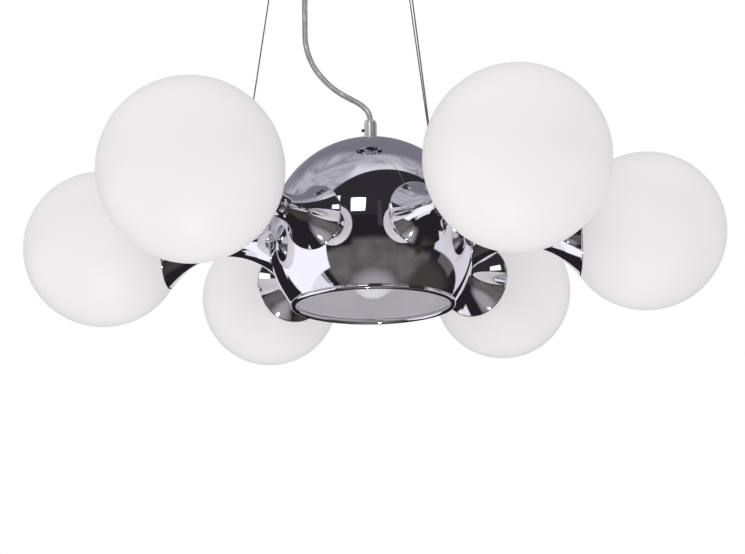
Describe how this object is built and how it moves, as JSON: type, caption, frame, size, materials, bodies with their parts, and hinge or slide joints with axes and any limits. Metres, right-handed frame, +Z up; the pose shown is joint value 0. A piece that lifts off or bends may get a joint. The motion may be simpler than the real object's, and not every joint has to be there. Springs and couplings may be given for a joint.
{
  "type": "chandelier",
  "caption": "Hanging chandelier: chromed dome with trumpet arms that end in opal glass globes, held by steel ropes and fed by a clear cable from a round ceiling canopy.",
  "frame": {"origin": "on the ceiling, on the vertical axis of the dome", "axes": "+Z up, +X along the axis of arm 1"},
  "size_m": [0.6688, 0.597, 0.6245],
  "materials": {
    "chrome_plate": "polished, chrome-plated",
    "satin_aluminium": "satin, spun and anodised",
    "zinc_steel": "zinc-plated",
    "rope_steel": "stranded wire rope",
    "nickel_brass": "nickel-plated brass",
    "opal_glass": "satin, opal triplex",
    "frosted_glass": "frosted",
    "clear_glass": "clear",
    "white_ceramic": "unglazed steatite",
    "white_silicone": "moulded silicone",
    "black_plastic": "moulded phenolic",
    "white_plastic": "moulded",
    "clear_pvc": "clear jacket over tinned cores"
  },
  "bodies": {
    "hanging_frame": {"ceiling_plate": "zinc_steel", "canopy_terminal": "white_plastic", "canopy_cover": "chrome_plate", "canopy_screw_1": "chrome_plate", "canopy_screw_2": "chrome_plate", "cable_gland": "chrome_plate", "supply_cable": "clear_pvc", "cord_grip": "chrome_plate", "grip_screw": "zinc_steel", "center_stem": "zinc_steel", "dome_shell": "chrome_plate", "wiring_harness": "white_plastic", "reflector": "satin_aluminium", "center_lampholder": "black_plastic", "rope_gripper_1": "chrome_plate", "rope_gripper_2": "chrome_plate", "rope_gripper_3": "chrome_plate", "steel_rope_1": "rope_steel", "steel_rope_2": "rope_steel", "steel_rope_3": "rope_steel", "arm_1": "chrome_plate", "arm_2": "chrome_plate", "arm_3": "chrome_plate", "arm_4": "chrome_plate", "arm_5": "chrome_plate", "arm_6": "chrome_plate", "arm_stem_1": "zinc_steel", "arm_stem_2": "zinc_steel", "arm_stem_3": "zinc_steel", "arm_stem_4": "zinc_steel", "arm_stem_5": "zinc_steel", "arm_stem_6": "zinc_steel", "lampholder_1": "white_ceramic", "lampholder_2": "white_ceramic", "lampholder_3": "white_ceramic", "lampholder_4": "white_ceramic", "lampholder_5": "white_ceramic", "lampholder_6": "white_ceramic"},
    "globe_seal_1": {"globe_seal_1": "white_silicone"},
    "globe_1": {"globe_1": "opal_glass"},
    "bulb_1": {"bulb_1": "clear_glass"},
    "globe_seal_2": {"globe_seal_2": "white_silicone"},
    "globe_2": {"globe_2": "opal_glass"},
    "bulb_2": {"bulb_2": "clear_glass"},
    "globe_seal_3": {"globe_seal_3": "white_silicone"},
    "globe_3": {"globe_3": "opal_glass"},
    "bulb_3": {"bulb_3": "clear_glass"},
    "globe_seal_4": {"globe_seal_4": "white_silicone"},
    "globe_4": {"globe_4": "opal_glass"},
    "bulb_4": {"bulb_4": "clear_glass"},
    "globe_seal_5": {"globe_seal_5": "white_silicone"},
    "globe_5": {"globe_5": "opal_glass"},
    "bulb_5": {"bulb_5": "clear_glass"},
    "globe_seal_6": {"globe_seal_6": "white_silicone"},
    "globe_6": {"globe_6": "opal_glass"},
    "bulb_6": {"bulb_6": "clear_glass"},
    "center_bulb": {"center_bulb": "frosted_glass"},
    "gripper_plunger_1": {"gripper_plunger_1": "nickel_brass"},
    "gripper_plunger_2": {"gripper_plunger_2": "nickel_brass"},
    "gripper_plunger_3": {"gripper_plunger_3": "nickel_brass"}
  },
  "joints": [
    {"name": "globe_1_out", "type": "slide", "parent": "hanging_frame", "child": "globe_seal_1", "axis": [1, 0, 0], "range_m": [0, 0.006]},
    {"name": "globe_1_turn", "type": "hinge", "parent": "globe_seal_1", "child": "globe_1", "pos_m": [0.2594, 0, -0.55], "axis": [1, 0, 0], "range_deg": [0, 720]},
    {"name": "bulb_1_pull", "type": "slide", "parent": "hanging_frame", "child": "bulb_1", "axis": [1, 0, 0], "range_m": [0, 0.012]},
    {"name": "globe_2_out", "type": "slide", "parent": "hanging_frame", "child": "globe_seal_2", "axis": [0.5, 0.866, 0], "range_m": [0, 0.006]},
    {"name": "globe_2_turn", "type": "hinge", "parent": "globe_seal_2", "child": "globe_2", "pos_m": [0.1297, 0.22465, -0.55], "axis": [0.5, 0.866, 0], "range_deg": [0, 720]},
    {"name": "bulb_2_pull", "type": "slide", "parent": "hanging_frame", "child": "bulb_2", "axis": [0.5, 0.866, 0], "range_m": [0, 0.012]},
    {"name": "globe_3_out", "type": "slide", "parent": "hanging_frame", "child": "globe_seal_3", "axis": [-0.5, 0.866, 0], "range_m": [0, 0.006]},
    {"name": "globe_3_turn", "type": "hinge", "parent": "globe_seal_3", "child": "globe_3", "pos_m": [-0.1297, 0.22465, -0.55], "axis": [-0.5, 0.866, 0], "range_deg": [0, 720]},
    {"name": "bulb_3_pull", "type": "slide", "parent": "hanging_frame", "child": "bulb_3", "axis": [-0.5, 0.866, 0], "range_m": [0, 0.012]},
    {"name": "globe_4_out", "type": "slide", "parent": "hanging_frame", "child": "globe_seal_4", "axis": [-1, 0, 0], "range_m": [0, 0.006]},
    {"name": "globe_4_turn", "type": "hinge", "parent": "globe_seal_4", "child": "globe_4", "pos_m": [-0.2594, 0, -0.55], "axis": [-1, 0, 0], "range_deg": [0, 720]},
    {"name": "bulb_4_pull", "type": "slide", "parent": "hanging_frame", "child": "bulb_4", "axis": [-1, 0, 0], "range_m": [0, 0.012]},
    {"name": "globe_5_out", "type": "slide", "parent": "hanging_frame", "child": "globe_seal_5", "axis": [-0.5, -0.866, 0], "range_m": [0, 0.006]},
    {"name": "globe_5_turn", "type": "hinge", "parent": "globe_seal_5", "child": "globe_5", "pos_m": [-0.1297, -0.22465, -0.55], "axis": [-0.5, -0.866, 0], "range_deg": [0, 720]},
    {"name": "bulb_5_pull", "type": "slide", "parent": "hanging_frame", "child": "bulb_5", "axis": [-0.5, -0.866, 0], "range_m": [0, 0.012]},
    {"name": "globe_6_out", "type": "slide", "parent": "hanging_frame", "child": "globe_seal_6", "axis": [0.5, -0.866, 0], "range_m": [0, 0.006]},
    {"name": "globe_6_turn", "type": "hinge", "parent": "globe_seal_6", "child": "globe_6", "pos_m": [0.1297, -0.22465, -0.55], "axis": [0.5, -0.866, 0], "range_deg": [0, 720]},
    {"name": "bulb_6_pull", "type": "slide", "parent": "hanging_frame", "child": "bulb_6", "axis": [0.5, -0.866, 0], "range_m": [0, 0.012]},
    {"name": "center_bulb_turn", "type": "hinge", "parent": "hanging_frame", "child": "center_bulb", "pos_m": [0, 0, -0.584], "axis": [0, 0, -1], "range_deg": [0, 1260]},
    {"name": "plunger_1_push", "type": "slide", "parent": "hanging_frame", "child": "gripper_plunger_1", "axis": [0, 0, 1], "range_m": [0, 0.003], "stiffness_N_per_m": 900, "springref_m": -0.002},
    {"name": "plunger_2_push", "type": "slide", "parent": "hanging_frame", "child": "gripper_plunger_2", "axis": [0, 0, 1], "range_m": [0, 0.003], "stiffness_N_per_m": 900, "springref_m": -0.002},
    {"name": "plunger_3_push", "type": "slide", "parent": "hanging_frame", "child": "gripper_plunger_3", "axis": [0, 0, 1], "range_m": [0, 0.003], "stiffness_N_per_m": 900, "springref_m": -0.002}
  ],
  "couplings": [
    {"joint": "globe_1_out", "follows": "globe_1_turn", "m_per_rad": 0.000477},
    {"joint": "globe_2_out", "follows": "globe_2_turn", "m_per_rad": 0.000477},
    {"joint": "globe_3_out", "follows": "globe_3_turn", "m_per_rad": 0.000477},
    {"joint": "globe_4_out", "follows": "globe_4_turn", "m_per_rad": 0.000477},
    {"joint": "globe_5_out", "follows": "globe_5_turn", "m_per_rad": 0.000477},
    {"joint": "globe_6_out", "follows": "globe_6_turn", "m_per_rad": 0.000477}
  ]
}
